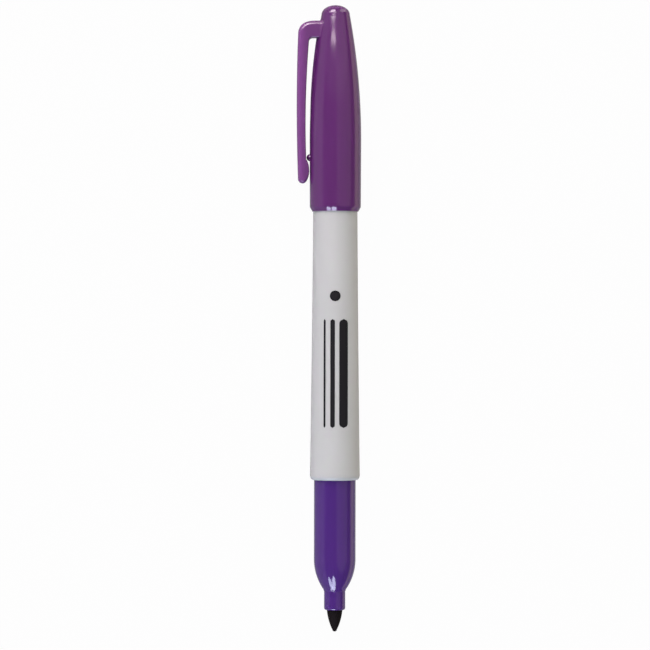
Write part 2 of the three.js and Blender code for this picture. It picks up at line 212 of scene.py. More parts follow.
class StudioSettings(bpy.types.PropertyGroup):
    """Camera, lamps and backdrop."""

    distance: length("Camera distance", "From the marker's axis to the camera", 800)
    view_width: length("View width", "What the picture spans at the axis", 156)
    centre_along: length("Centre along", "The picture's middle, from the nib's tip", 73.55)
    centre_aside: length("Centre aside", "The picture's middle, from the axis towards the clip", 2.43)
    sky: FloatProperty(name="Sky", description="Level of the dim room above the floor", default=0.15, min=0)


def barrel_sizes():
    return bpy.context.scene.marker_barrel


def cap_sizes():
    return bpy.context.scene.marker_cap


def finishes():
    return bpy.context.scene.marker_finishes


# Profiles, as points of radius and height

def arc(centre, radii, start, end, steps):
    """Points of an arc or ellipse, in degrees, with 0 along the radius and 90 towards the cap's top."""
    angles = [math.radians(start + (end - start) * i / steps) for i in range(steps + 1)]
    return [(centre[0] + radii[0] * math.cos(a), centre[1] + radii[1] * math.sin(a)) for a in angles]


def side(radius_at, start, end, steps):
    """Points of a side whose radius is a function of height."""
    heights = [start + (end - start) * i / steps for i in range(steps + 1)]
    return [(radius_at(y), y) for y in heights]


def bend(start, towards, end, steps):
    """Points of a smooth bend from one point to another, drawn towards a third."""
    points = []
    for i in range(steps + 1):
        t = i / steps
        weights = ((1 - t) ** 2, 2 * t * (1 - t), t * t)
        points.append(tuple(sum(w * p[k] for w, p in zip(weights, (start, towards, end))) for k in (0, 1)))
    return points


def arc_drop(radius, distance):
    """How far a circle has fallen away at a distance from where it touches its tangent."""
    return radius - math.sqrt(max(radius * radius - distance * distance, 0))


def barrel_radius(y):
    """The barrel's outer radius at a height."""
    sizes = barrel_sizes()
    from_tail = min(max((TAIL_Y - y) / (TAIL_Y - SHOULDER_Y), 0), 1)
    return sizes.tail_radius + (sizes.front_radius - sizes.tail_radius) * from_tail**sizes.draft


def section_curve_end():
    """The height at which the section's curve has reached its full radius."""
    sizes = barrel_sizes()
    drop = sizes.section_radius - sizes.neck_radius
    return RIM_Y + sizes.neck_length + math.sqrt(sizes.section_curve**2 - (sizes.section_curve - drop) ** 2)


def section_radius(y):
    """The section's outer radius at a height above its neck."""
    sizes = barrel_sizes()
    return sizes.section_radius - arc_drop(sizes.section_curve, max(section_curve_end() - y, 0))


def cap_radius(y):
    """The cap's outer radius at a height below its dome."""
    sizes = cap_sizes()
    straight_end = LIP_Y + sizes.straight
    if y < straight_end:
        return sizes.lip_radius + (sizes.radius - sizes.lip_radius) * (y - LIP_Y) / sizes.straight
    height = CAP_TOP_Y - sizes.dome_height - straight_end
    drop = sizes.radius - sizes.top_radius
    return sizes.radius - arc_drop((height**2 + drop**2) / (2 * drop), y - straight_end)


def cap_bore(y):
    """The cap's inner radius: it clears the barrel up to the inner cap, and then follows the outside."""
    sizes = cap_sizes()
    return barrel_radius(y) + sizes.clearance if y < LINER_Y else cap_radius(y) - sizes.wall


# Mesh tools

def turned(profile, segments, closed=False):
    """A bmesh of a profile spun about the bench's y axis."""
    bm = bmesh.new()
    verts = [bm.verts.new((radius, y, 0)) for radius, y in profile]
    runs = zip(verts, [*verts[1:], verts[0]] if closed else verts[1:])
    edges = [bm.edges.new(pair) for pair in runs if max(vert.co.x for vert in pair) > WELD]
    bmesh.ops.spin(
        bm, geom=verts + edges, cent=(0, 0, 0), axis=(0, 1, 0), dvec=(0, 0, 0),
        angle=2 * math.pi, steps=segments, use_merge=True, use_duplicate=False,
    )
    bmesh.ops.remove_doubles(bm, verts=bm.verts, dist=WELD)
    bmesh.ops.recalc_face_normals(bm, faces=bm.faces)
    return bm


def add_fins(bm, count, inner, outer, thickness, start, end):
    """Flat ribs that run out from the axis, evenly round it."""
    for i in range(count):
        turn = Matrix.Rotation(2 * math.pi * i / count, 3, "Y")
        fin = bmesh.ops.create_cube(bm, size=1)["verts"]
        bmesh.ops.scale(bm, verts=fin, vec=(outer - inner, end - start, thickness))
        bmesh.ops.translate(bm, verts=fin, vec=((inner + outer) / 2, (start + end) / 2, 0))
        bmesh.ops.rotate(bm, verts=fin, cent=(0, 0, 0), matrix=turn)


def join(bm, other):
    """Adds another bmesh's shapes to this one."""
    passing = bpy.data.meshes.new("passing")
    other.to_mesh(passing)
    other.free()
    bm.from_mesh(passing)
    bpy.data.meshes.remove(passing)


def placed(bm, name, finish, sharp=35):
    """Makes a finished bmesh an object, laid down onto the frame, with edges over so many degrees sharp."""
    bmesh.ops.transform(bm, matrix=LAY_DOWN, verts=bm.verts)
    mesh = bpy.data.meshes.new(name)
    bm.to_mesh(mesh)
    bm.free()
    mesh.shade_smooth()
    mesh.set_sharp_from_angle(angle=math.radians(sharp))
    mesh.materials.append(finish)
    piece = bpy.data.objects.new(name, mesh)
    bpy.context.scene.collection.objects.link(piece)
    return piece


# Materials

def new_material(name):
    """A new material, its nodes and its shader."""
    surface = bpy.data.materials.new(name)
    surface.use_nodes = True
    tree = surface.node_tree
    return surface, tree, tree.nodes["Principled BSDF"]


def bench_noise(tree, scale, stretch=(1, 1, 1), detail=3.0):
    """Noise in object space, with its scale in cycles a millimetre; stretch shrinks it along an axis."""
    place = tree.nodes.new("ShaderNodeTexCoord")
    mapping = tree.nodes.new("ShaderNodeMapping")
    mapping.inputs["Scale"].default_value = [s / MM for s in stretch]
    noise = tree.nodes.new("ShaderNodeTexNoise")
    noise.inputs["Scale"].default_value = scale
    noise.inputs["Detail"].default_value = detail
    tree.links.new(place.outputs["Object"], mapping.inputs["Vector"])
    tree.links.new(mapping.outputs["Vector"], noise.inputs["Vector"])
    return noise.outputs["Fac"]


def spread(tree, value, low, high, start=0.3, end=0.7):
    """Maps a value from one range, by default that of most noise, to another."""
    node = tree.nodes.new("ShaderNodeMapRange")
    node.inputs["From Min"].default_value = start
    node.inputs["From Max"].default_value = end
    node.inputs["To Min"].default_value = low
    node.inputs["To Max"].default_value = high
    tree.links.new(value, node.inputs["Value"])
    return node.outputs["Result"]


def combined(tree, operation, first, second):
    """The result of a Math node on two values, each a socket or a number."""
    node = tree.nodes.new("ShaderNodeMath")
    node.operation = operation
    for socket, value in zip(node.inputs, (first, second)):
        if isinstance(value, bpy.types.NodeSocket):
            tree.links.new(value, socket)
        else:
            socket.default_value = value
    return node.outputs["Value"]


def shade_between(tree, value, dark, light):
    """Mixes two colours by a value."""
    mix = tree.nodes.new("ShaderNodeMix")
    mix.data_type = "RGBA"
    mix.inputs["A"].default_value = (*dark, 1)
    mix.inputs["B"].default_value = (*light, 1)
    tree.links.new(value, mix.inputs["Factor"])
    return mix.outputs["Result"]


def scaled(rgb, factor):
    """A colour made darker or lighter."""
    return [min(channel * factor, 1) for channel in rgb]


def bumped(tree, shader, heights):
    """Adds height fields, each a value and a depth in millimetres, to the shader's normal."""
    normal = None
    for value, depth in heights:
        bump = tree.nodes.new("ShaderNodeBump")
        bump.inputs["Strength"].default_value = 1
        bump.inputs["Distance"].default_value = depth * MM
        tree.links.new(value, bump.inputs["Height"])
        if normal:
            tree.links.new(normal, bump.inputs["Normal"])
        normal = bump.outputs["Normal"]
    tree.links.new(normal, shader.inputs["Normal"])


def moulded_plastic(name, rgb, rough, grain, light_in):
    """Injection-moulded plastic: a faint drift of tone, uneven polish, soft ripple, fine grain and rubs.

    The grain's depth is in millimetres, and light_in is the share of light that spreads under the surface.
    """
    surface, tree, shader = new_material(name)
    drift = spread(tree, bench_noise(tree, 0.06, stretch=(0.5, 1, 1)), 0, 1)
    tone = shade_between(tree, drift, scaled(rgb, 0.96), scaled(rgb, 1.04))
    tree.links.new(tone, shader.inputs["Base Color"])
    polish = spread(tree, bench_noise(tree, 0.7), rough * 0.85, rough * 1.15)
    rubs = spread(tree, bench_noise(tree, 2.2, stretch=(0.1, 1, 1), detail=5), 0, 0.05, 0.6, 0.75)
    tree.links.new(combined(tree, "ADD", polish, rubs), shader.inputs["Roughness"])
    shader.inputs["IOR"].default_value = PLASTIC_IOR
    shader.inputs["Subsurface Weight"].default_value = light_in
    shader.inputs["Subsurface Radius"].default_value = (1, 0.8, 1)
    shader.inputs["Subsurface Scale"].default_value = 1.2 * MM
    bumped(tree, shader, [(bench_noise(tree, 0.35), grain * 4), (bench_noise(tree, 9), grain)])
    return surface


def clip_plastic_painted_shade(name, rgb):
    """Moulded plastic with painted shade towards the cap behind it, where shade falls, and painted light on
    its outer side.
    """
    # painted shade and painted light: the colour is scaled from 0.8 next to the cap up to 1.06 at the clip's
    # outer side
    dark, light = 0.8, 1.06
    painted_shade_reach, painted_light_reach = 6.9 * MM, 8.2 * MM  # from the axis
    surface = moulded_plastic(name, rgb, rough=0.2, grain=0.0003, light_in=0.3)
    tree = surface.node_tree
    colour_in = tree.nodes["Principled BSDF"].inputs["Base Color"]
    outward = LAY_DOWN.to_3x3() @ Vector((-1, 0, 0))
    place = tree.nodes.new("ShaderNodeTexCoord")
    reach = tree.nodes.new("ShaderNodeVectorMath")
    reach.operation = "DOT_PRODUCT"
    reach.inputs[1].default_value = outward
    tree.links.new(place.outputs["Object"], reach.inputs[0])
    axis = LAY_DOWN.translation.dot(outward)
    factor = spread(tree, reach.outputs["Value"], dark, light, axis + painted_shade_reach, axis + painted_light_reach)
    painted_shade_colour = tree.nodes.new("ShaderNodeVectorMath")
    painted_shade_colour.operation = "SCALE"
    tree.links.new(colour_in.links[0].from_socket, painted_shade_colour.inputs[0])
    tree.links.new(factor, painted_shade_colour.inputs["Scale"])
    tree.links.new(painted_shade_colour.outputs["Vector"], colour_in)
    return surface


def felt(name, rgb, fibre_depth):
    """Bonded fibre that runs along the marker, with its depth in millimetres."""
    surface, tree, shader = new_material(name)
    fibres = bench_noise(tree, 9, stretch=(0.08, 1, 1), detail=4)
    lint = bench_noise(tree, 5)
    tone = shade_between(tree, spread(tree, fibres, 0, 1), scaled(rgb, 0.6), scaled(rgb, 2.2))
    tree.links.new(tone, shader.inputs["Base Color"])
    tree.links.new(spread(tree, lint, 0.62, 0.85), shader.inputs["Roughness"])
    shader.inputs["Specular IOR Level"].default_value = 0.08
    bumped(tree, shader, [(fibres, fibre_depth), (lint, fibre_depth * 0.6)])
    return surface


def clear_film(name):
    """Thin clear wrap and air tube."""
    surface, tree, shader = new_material(name)
    haze = spread(tree, bench_noise(tree, 0.8), 0.12, 0.22)
    tree.links.new(haze, shader.inputs["Roughness"])
    shader.inputs["Base Color"].default_value = (0.86, 0.85, 0.9, 1)
    shader.inputs["Transmission Weight"].default_value = 0.75
    shader.inputs["IOR"].default_value = 1.45
    return surface


def printed_ink(name, rgb):
    """Flat ink with a slightly broken surface."""
    surface, tree, shader = new_material(name)
    specks = spread(tree, bench_noise(tree, 6), 0, 1)
    tone = shade_between(tree, specks, scaled(rgb, 0.85), scaled(rgb, 1.15))
    tree.links.new(tone, shader.inputs["Base Color"])
    tree.links.new(spread(tree, bench_noise(tree, 2), 0.38, 0.5), shader.inputs["Roughness"])
    shader.inputs["Specular IOR Level"].default_value = 0.15
    return surface


def material(name):
    """The marker's materials, each made once."""
    if name in bpy.data.materials:
        return bpy.data.materials[name]
    tones = finishes()
    makers = {
        "satin_grey": lambda: moulded_plastic(name, tones.barrel, rough=0.44, grain=0.0012, light_in=0.6),
        "cap_purple": lambda: moulded_plastic(name, tones.cap, rough=0.09, grain=0.0003, light_in=0.4),
        # the clip's plastic, painted lighter, with painted shade towards the cap
        "clip_purple_painted_light_and_shade": lambda: clip_plastic_painted_shade(name, tones.clip),
        "section_violet": lambda: moulded_plastic(
            name, tones.section, rough=0.11, grain=0.0004, light_in=0.2
        ),
        "milky_liner": lambda: moulded_plastic(name, tones.liner, rough=0.4, grain=0.0008, light_in=0.3),
        "inked_felt": lambda: felt(name, tones.felt, fibre_depth=0.03),
        "inked_fibre": lambda: felt(name, (0.05, 0.02, 0.14), fibre_depth=0.05),
        "film": lambda: clear_film(name),
        "mark_ink": lambda: printed_ink(name, tones.marks),
    }
    return makers[name]()


# Pieces

def snap_bead(radius):
    """The bead that locks the section in the barrel, as points towards the tail."""
    start = SHOULDER_Y + 4 * MM
    return [(radius, start), (radius + 0.12 * MM, start + 0.8 * MM), (radius, start + 1.6 * MM)]


def barrel_shell():
    """The tapered tube, closed at the tail, with a socket for the section and ribs under the filler."""
    sizes = barrel_sizes()
    socket = sizes.section_radius + PRESS_GAP
    socket_end = SPIGOT_Y + SEAT_GAP
    lead_in = 0.12 * MM
    bore_end = TAIL_Y - sizes.end_wall
    shoulder = (sizes.shoulder_rounding * 0.64, sizes.shoulder_rounding)
    shoulder_middle = (sizes.front_radius - shoulder[0], SHOULDER_Y + shoulder[1])
    tail_rounding = sizes.tail_rounding
    tail_middle = (sizes.tail_radius - tail_rounding, TAIL_Y - tail_rounding)
    gate_dimple = [
        *arc((1.25 * MM, TAIL_Y), (0.15 * MM, 0.12 * MM), 0, -90, 3),
        (0.9 * MM, TAIL_Y - 0.3 * MM),
        (0, TAIL_Y - 0.35 * MM),
    ]
    outside = [
        *arc(shoulder_middle, shoulder, -90, -3, 11),
        *side(barrel_radius, SHOULDER_Y + shoulder[1] * 1.2, TAIL_Y - tail_rounding, 24),
        *arc(tail_middle, (tail_rounding, tail_rounding), 8, 90, 8),
        *gate_dimple,
    ]
    inside = [
        (0, bore_end),
        *side(lambda y: min(barrel_radius(y) - sizes.wall, socket), bore_end, socket_end, 8),
        (socket, socket_end),
        *reversed(snap_bead(socket)),
        (socket, SHOULDER_Y + lead_in),
        (socket + lead_in, SHOULDER_Y),
    ]
    shell = turned([*outside, *inside], finishes().segments, closed=True)
    add_fins(
        shell, count=4, inner=1.3 * MM, outer=4.6 * MM, thickness=0.8 * MM,
        start=bore_end - 1 * MM, end=bore_end + 0.3 * MM,
    )
    return shell


def section_shell():
    """Rim, neck, rounded shoulder and grip, with vents past the nib and ribs that hold it straight."""
    sizes = barrel_sizes()
    neck_top = RIM_Y + sizes.neck_length
    curve_end = section_curve_end()
    seat = sizes.nib_radius + 0.04 * MM
    seat_end = RIM_Y + 7.7 * MM
    chamber = sizes.section_radius - sizes.section_wall
    rounding = sizes.rim_rounding
    flat = sizes.neck_radius - rounding
    fillet = 0.3 * MM
    fillet_height = fillet * 0.8
    chamfer, chamfer_length = 0.3 * MM, 0.6 * MM
    outside = [
        *arc((flat, RIM_Y + rounding), (rounding, rounding), -90, 0, 8),
        *arc((sizes.neck_radius + fillet, neck_top - fillet_height), (fillet, fillet_height), 180, 132, 4),
        *side(section_radius, neck_top + 0.22 * MM, curve_end, 22),
        (sizes.section_radius, SHOULDER_Y),
        *snap_bead(sizes.section_radius),
        (sizes.section_radius, SPIGOT_Y - chamfer_length),
        (sizes.section_radius - chamfer, SPIGOT_Y),
    ]
    inside = [
        (chamber, SPIGOT_Y),
        (chamber, curve_end),
        (seat, seat_end),
        (seat, RIM_Y + 0.05 * MM),
        (seat + 0.03 * MM, RIM_Y),
    ]
    shell = turned([*outside, *inside], finishes().segments, closed=True)
    cut_vents(shell, seat, flat)
    add_fins(
        shell, count=4, inner=seat, outer=chamber + 0.3 * MM, thickness=0.7 * MM,
        start=curve_end - 2 * MM, end=FILLER_Y - SEAT_GAP,
    )
    return shell


def cut_vents(bm, seat, flat):
    """Three grooves along the nib's seat, which let air in and end on the rim's rounding."""
    rounding = barrel_sizes().rim_rounding
    spacing = 2 * math.pi / 3
    half_width = 0.12  # in radians
    vent = seat + 0.32 * MM
    mouth_y = RIM_Y + arc_drop(rounding, vent - flat)
    for vert in bm.verts:
        turn = (math.atan2(vert.co.z, vert.co.x) + spacing / 2) % spacing - spacing / 2
        radius = math.hypot(vert.co.x, vert.co.z)
        if abs(turn) < half_width and radius < vent:
            vert.co.x *= vent / radius
            vert.co.z *= vent / radius
            vert.co.y = mouth_y if vert.co.y < RIM_Y + rounding else vert.co.y
    bmesh.ops.remove_doubles(bm, verts=bm.verts, dist=WELD)


def nib_rod():
    """The bullet nib on its rod, with a tapered heel."""
    sizes = barrel_sizes()
    start = RIM_Y + 1.2 * MM
    heel, heel_taper = 1.2 * MM, 2 * MM
    point = sizes.nib_point
    flank = side(lambda y: sizes.nib_radius - arc_drop(sizes.nib_curve, start - y), point, start, 20)
    profile = [
        *arc((0, point), (flank[0][0], point), -90, -8, 7),
        *flank,
        (sizes.nib_radius, NIB_END_Y - heel_taper),
        (heel, NIB_END_Y),
        (0, NIB_END_Y),
    ]
    return turned(profile, finishes().segments // 2)


def filler_rod():
    """The ink filler, with a socket for the nib's heel and a groove for the air tube."""
    socket = barrel_sizes().nib_radius + PRESS_GAP
    socket_end = NIB_END_Y + SEAT_GAP
    heel, heel_taper = 1.3 * MM, 2 * MM
    groove = 0.78 * MM
    rod_profile = [
        (socket, FILLER_Y),
        (FILLER_RADIUS, FILLER_Y),
        (FILLER_RADIUS, FILLER_END_Y),
        (0, FILLER_END_Y),
        (0, socket_end),
        (heel, socket_end),
        (socket, socket_end - heel_taper),
    ]
    bm = turned(rod_profile, finishes().segments * 3 // 4, closed=True)
    for vert in bm.verts:
        outside = math.hypot(vert.co.x, vert.co.z) > FILLER_RADIUS * 0.99
        if outside and math.hypot(vert.co.x - AIR_TUBE_ASIDE, vert.co.z) < groove:
            vert.co.x = AIR_TUBE_ASIDE - math.sqrt(max(groove**2 - vert.co.z**2, 0))
    return bm


def sleeve(inner, outer, segments):
    """A tube as long as the filler."""
    profile = [(inner, FILLER_Y), (outer, FILLER_Y), (outer, FILLER_END_Y), (inner, FILLER_END_Y)]
    return turned(profile, segments, closed=True)


def film_tube():
    """The film round the filler."""
    inner = 3.8 * MM
    return sleeve(inner, inner + 0.25 * MM, finishes().segments * 3 // 4)


def air_tube():
    """The tube in the filler's groove, through which air comes back."""
    bm = sleeve(inner=0.3 * MM, outer=0.55 * MM, segments=20)
    bmesh.ops.translate(bm, verts=bm.verts, vec=(AIR_TUBE_ASIDE, 0, 0))
    return bm


def lip_curve():
    """Points of the cap's mouth: a round edge, then a flank that eases into the side."""
    sizes = cap_sizes()
    radius = cap_radius(LIP_Y + sizes.lip_height)

    def point(drawn_in, height):
        return radius - drawn_in * sizes.lip_drop, LIP_Y + height * sizes.lip_height

    edge = bend(point(1, 0), point(0.86, 0.12), point(0.72, 0.23), 5)
    return edge + bend(point(0.24, 0.61), point(0, 0.8), point(0, 1), 9)


def cap_body():
    """The domed cap with the guide ridge and the tooth that are moulded on it, behind the clip."""
    sizes = cap_sizes()
    dome_y = CAP_TOP_Y - sizes.dome_height
    straight_end = LIP_Y + sizes.straight
    mouth = cap_bore(LIP_Y) + 0.02 * MM
    lead_in = 0.1 * MM
    outside = [
        (mouth, LIP_Y),
        *lip_curve(),
        *side(cap_radius, LIP_Y + sizes.lip_height * 1.2, straight_end, 6),
        *side(cap_radius, straight_end, dome_y, 40)[1:],
        *arc((0, dome_y), (sizes.top_radius, sizes.dome_height), 5, 90, 18),
    ]
    inside = [
        *arc((0, dome_y), (sizes.top_radius - sizes.wall, sizes.dome_height - sizes.wall), 90, 5, 8),
        *side(cap_bore, dome_y, LINER_Y, 14),
        *side(cap_bore, LINER_Y - 0.01 * MM, LIP_Y + lead_in, 8),
    ]
    shell = turned([*outside, *inside], finishes().segments, closed=True)
    add_guide_ridge(shell)
    add_tooth(shell)
    return shell


def add_guide_ridge(bm):
    """A low ridge down the slot, which rises towards the arm."""
    start = LIP_Y + 21 * MM
    end = ARM_TOP_Y - cap_sizes().arm_height + 0.5 * MM
    width, rounding = 1.3 * MM, 0.22 * MM
    height, fall, sunk = 0.3 * MM, 0.33 * MM, 0.4 * MM  # at the arm, to the low end, and into the wall
    ridge = bmesh.new()
    bmesh.ops.create_cube(ridge, size=1)
    long_edges = [e for e in ridge.edges if abs(e.verts[0].co.y - e.verts[1].co.y) > 0.5]
    bmesh.ops.subdivide_edges(ridge, edges=long_edges, cuts=23, use_grid_fill=True)
    outer_edges = [e for e in ridge.edges if min(v.co.x for v in e.verts) > 0.4]
    top = [e for e in outer_edges if abs(e.verts[0].co.z - e.verts[1].co.z) < 0.5]
    for vert in ridge.verts:
        share = vert.co.y + 0.5
        proud = height - fall * (1 - share) ** 2 if vert.co.x > 0 else -sunk
        y = start + (end - start) * share
        across = vert.co.z * width
        vert.co = (-math.sqrt((cap_radius(y) + proud) ** 2 - across**2), y, across)
    bmesh.ops.recalc_face_normals(ridge, faces=ridge.faces)
    bmesh.ops.bevel(ridge, geom=top, offset=rounding, segments=4, profile=0.5, affect="EDGES", material=-1)
    join(bm, ridge)


def add_tooth(bm):
    """A round tooth that stops cloth from sliding up behind the clip."""
    radius, proud = 0.85 * MM, 0.78 * MM
    y = LIP_Y + 12.9 * MM
    tooth = bmesh.ops.create_uvsphere(bm, u_segments=32, v_segments=18, radius=radius)["verts"]
    bmesh.ops.translate(bm, verts=tooth, vec=(-(cap_radius(y) + proud - radius), y, 0))


def liner_cup():
    """The soft cup inside the cap, which seals on the section's shoulder."""
    wall, end_wall = 0.55 * MM, 0.8 * MM
    rim_length = 2.5 * MM
    closed = LINER_END_Y - end_wall
    rim = section_radius(LIP_Y + SHOULDER_Y - LINER_Y) + PRESS_GAP

    def outer(y):
        return cap_bore(max(y, LINER_Y)) - PRESS_GAP

    profile = [
        (rim, LINER_Y),
        *side(outer, LINER_Y, LINER_END_Y, 10),
        (0, LINER_END_Y),
        (0, closed),
        *side(lambda y: outer(y) - wall, closed, LINER_Y + rim_length, 8),
    ]
    return turned(profile, finishes().segments, closed=True)


def clip_width(y):
    """The clip's width at a height."""
    sizes = cap_sizes()
    share = (y - CLIP_END_Y) / (ARM_TOP_Y - CLIP_END_Y)
    return sizes.clip_tip_width + (sizes.clip_width - sizes.clip_tip_width) * share


def clip_outline():
    """The clip's side view as points, each with its share of the outer edges' crown."""
    sizes = cap_sizes()
    pad_gap, corner_fall = 0.12 * MM, 0.1 * MM
    root_x = 3.6 * MM
    tip_steps, tip_crown = 10, 0.7
    arm_top = ARM_TOP_Y + sizes.arm_crown
    slot_y = ARM_TOP_Y - sizes.arm_height
    middle_y = (ARM_TOP_Y + CLIP_END_Y) / 2
    pad_x = sizes.clip_tip - sizes.end_radius
    pad_y = CLIP_END_Y + sizes.pad_drop
    pad = (pad_x - cap_radius(pad_y) - pad_gap, sizes.pad_drop)
    pad_back = sizes.clip_reach - sizes.pad_thickness
    slot_x = sizes.clip_shoulder - sizes.corner_thickness
    slot_corner = slot_y - sizes.slot_radius
    outer_bow = 2 * sizes.clip_reach - (sizes.clip_shoulder + sizes.clip_tip) / 2
    inner_bow = 2 * (sizes.clip_reach - sizes.clip_thickness) - (pad_back + slot_x) / 2
    corner_start = (sizes.corner_across - sizes.clip_shoulder, arm_top)
    corner = (-sizes.clip_shoulder, arm_top - corner_fall)
    corner_end = (-sizes.clip_shoulder, ARM_TOP_Y - sizes.corner_down)
    end = (sizes.end_radius - sizes.clip_tip, CLIP_END_Y + sizes.end_radius)
    arm_top_points = [(-(4.3 + 0.2 * i) * MM, arm_top) for i in range(4)]
    arm_foot_points = [(-5.4 * MM, slot_y), (-4.4 * MM, slot_y)]
    outer = [
        (-root_x, arm_top),
        *arm_top_points,
        *bend(corner_start, corner, corner_end, 16),
        *bend(corner_end, (-outer_bow, middle_y), (-sizes.clip_tip, end[1]), 30)[1:],
        *arc(end, (sizes.end_radius,) * 2, 187, 270, tip_steps),
    ]
    under_pad = arc((-pad_x, pad_y), pad, -84, -4, 14)
    inner = [
        *arc((-pad_x, pad_y), pad, 4, 60, 10),
        *bend((-pad_back, pad_y + sizes.pad_drop), (-inner_bow, middle_y), (-slot_x, slot_corner), 26),
        *arc((sizes.slot_radius - slot_x, slot_corner), (sizes.slot_radius,) * 2, 172, 90, 8),
        *arm_foot_points,
    ]
    around_tip = [1 - (1 - tip_crown) * (i + 1) / tip_steps for i in range(tip_steps)]
    return (
        [(x, y, 1) for x, y in outer[:-tip_steps]]
        + [(x, y, crown) for (x, y), crown in zip(outer[-tip_steps:], around_tip)]
        + [(x, y, tip_crown * (1 - (i + 1) / len(under_pad))) for i, (x, y) in enumerate(under_pad)]
        + [(x, y, 0) for x, y in inner]
    )


def inset_directions(points):
    """Unit vectors that point into the outline, one for each of its points; its root end stays square."""
    directions = []
    for before, after in zip([points[0], *points[:-1]], [*points[1:], points[-1]]):
        run = Vector((after[0] - before[0], after[1] - before[1], 0)).normalized()
        directions.append(Vector((-run.y, run.x, 0)))
    return directions


def rounded_away(depth, width, distance):
    """How far an elliptic edge has fallen away at a distance from the clip's side."""
    past = min(max((width - distance) / width, 0), 1)
    return depth * (1 - math.sqrt(1 - past * past))


def clip_moulding():
    """The arm and clip: their side view drawn across in slices, crowned outside and grown out of the cap."""
    sizes = cap_sizes()
    crown_depth, crown_width, edge = sizes.crown_depth, sizes.crown_width, sizes.edge_rounding
    outline = clip_outline()
    inwards = inset_directions(outline)
    angles = [0, 15, 30, 45, 58, 68, 76, 82, 87, 90]
    shares = [math.sin(math.radians(a)) for a in angles]
    from_side = [crown_width * (1 - share) for share in shares]
    slices = [(-1, d) for d in reversed(from_side)] + [(1, d) for d in from_side]
    bm = bmesh.new()
    place = bm.verts.layers.int.new("place")
    verts = [bm.verts.new((x, y, 0)) for x, y, _ in outline]
    for index, vert in enumerate(verts):
        vert[place] = index
    face = bm.faces.new(verts)
    for number, (facing, distance) in enumerate(slices):
        if number:
            grown = bmesh.ops.extrude_face_region(bm, geom=[face])["geom"]
            if number > 1 and face.is_valid:
                bmesh.ops.delete(bm, geom=[face], context="FACES_ONLY")
            face = next(g for g in grown if isinstance(g, bmesh.types.BMFace))
            verts = [g for g in grown if isinstance(g, bmesh.types.BMVert)]
        outer = rounded_away(crown_depth, crown_width, distance)
        inner = rounded_away(edge, edge, distance)
        for vert in verts:
            x, y, crown = outline[vert[place]]
            spot = Vector((x, y, 0)) + inwards[vert[place]] * (outer * crown + inner * (1 - crown))
            vert.co = (spot.x, spot.y, facing * (clip_width(y) / 2 - distance))
    grow_from_cap(bm)
    bmesh.ops.recalc_face_normals(bm, faces=bm.faces)
    return bm


def grow_from_cap(bm):
    """Sinks the arm's end into the cap's wall, slices the arm there and flares the slices onto the cap."""
    fillet = cap_sizes().root_fillet
    sunk = 0.45 * MM
    top_root_x, foot_root_x = -3.7 * MM, -4.5 * MM
    foot_y = ARM_TOP_Y - 2 * MM
    cuts, first_cut_x, cut_step = 27, -2.8 * MM, 0.09 * MM
    flare_end_x = -6 * MM
    for vert in bm.verts:
        if vert.co.x > top_root_x or (vert.co.x > foot_root_x and vert.co.y < foot_y):
            buried = cap_radius(vert.co.y) - sunk
            vert.co.x = -math.sqrt(buried**2 - vert.co.z**2)
    for i in range(1, cuts + 1):
        bmesh.ops.bisect_plane(
            bm, geom=[*bm.verts, *bm.edges, *bm.faces], dist=WELD,
            plane_co=(first_cut_x - cut_step * i, 0, 0), plane_no=(1, 0, 0),
        )
    bm.normal_update()
    moves = []
    for vert in bm.verts:
        if vert.co.x < flare_end_x:
            continue
        beyond = math.hypot(vert.co.x, vert.co.z) - cap_radius(vert.co.y)
        if beyond < fillet:
            outward = Vector((0, vert.normal.y, vert.normal.z))
            if outward.length > 0.1:
                flare = arc_drop(fillet, fillet - max(beyond, 0))
                moves.append((vert, outward.normalized() * flare))
    for vert, move in moves:
        vert.co += move
    bmesh.ops.remove_doubles(bm, verts=bm.verts, dist=2 * WELD)


def stroke_marks():
    """Plain printed strokes of rising width, and a dot, in thin ink on the barrel."""
    bm = bmesh.new()
    for aside, width in ((-2.6, 0.5), (-0.6, 1.1), (2.1, 2.2)):
        add_stroke(bm, aside * MM, middle=62 * MM, stroke_length=26 * MM, width=width * MM)
    add_stroke(bm, 0, middle=80.5 * MM, stroke_length=2.6 * MM, width=2.6 * MM)
    return bm


def add_stroke(bm, aside, middle, stroke_length, width):
    """One round-ended stroke, wrapped on the barrel's front."""
    row_length, least_rows = 0.4 * MM, 16
    proud, thickness = 0.012 * MM, 0.03 * MM
    stroke = bmesh.new()
    rows = max(least_rows, round(stroke_length / row_length))
    bmesh.ops.create_grid(stroke, x_segments=8, y_segments=rows, size=0.5)
    cap_end = width / 2
    straight = stroke_length / 2 - cap_end
    for vert in stroke.verts:
        across, lengthwise = vert.co.x * width, vert.co.y * stroke_length
        past = max(abs(lengthwise) - straight, 0)
        across *= math.sqrt(max(1 - (past / cap_end) ** 2, 0))
        y = middle + lengthwise
        around = (aside + across) / barrel_radius(y)
        vert.co = Vector((math.sin(around), 0, math.cos(around))) * (barrel_radius(y) + proud)
        vert.co.y = y
    bmesh.ops.remove_doubles(stroke, verts=stroke.verts, dist=2 * WELD)
    bmesh.ops.recalc_face_normals(stroke, faces=stroke.faces)
    bmesh.ops.solidify(stroke, geom=stroke.faces, thickness=thickness)
    bmesh.ops.recalc_face_normals(stroke, faces=stroke.faces)
    join(bm, stroke)


# Operators

class MARKER_OT_barrel(bpy.types.Operator):
    """Makes the barrel"""

    bl_idname = "marker.barrel"
    bl_label = "Barrel"

    def execute(self, context):
        piece = placed(barrel_shell(), "barrel_tube", material("satin_grey"))
        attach(piece, "marker")
        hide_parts("barrel")
        return {"FINISHED"}


class MARKER_OT_marks(bpy.types.Operator):
    """Prints plain strokes on the barrel"""

    bl_idname = "marker.marks"
    bl_label = "Printed strokes"

    def execute(self, context):
        piece = placed(stroke_marks(), "stroke_marks", material("mark_ink"))
        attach(piece, "marker")
        return {"FINISHED"}


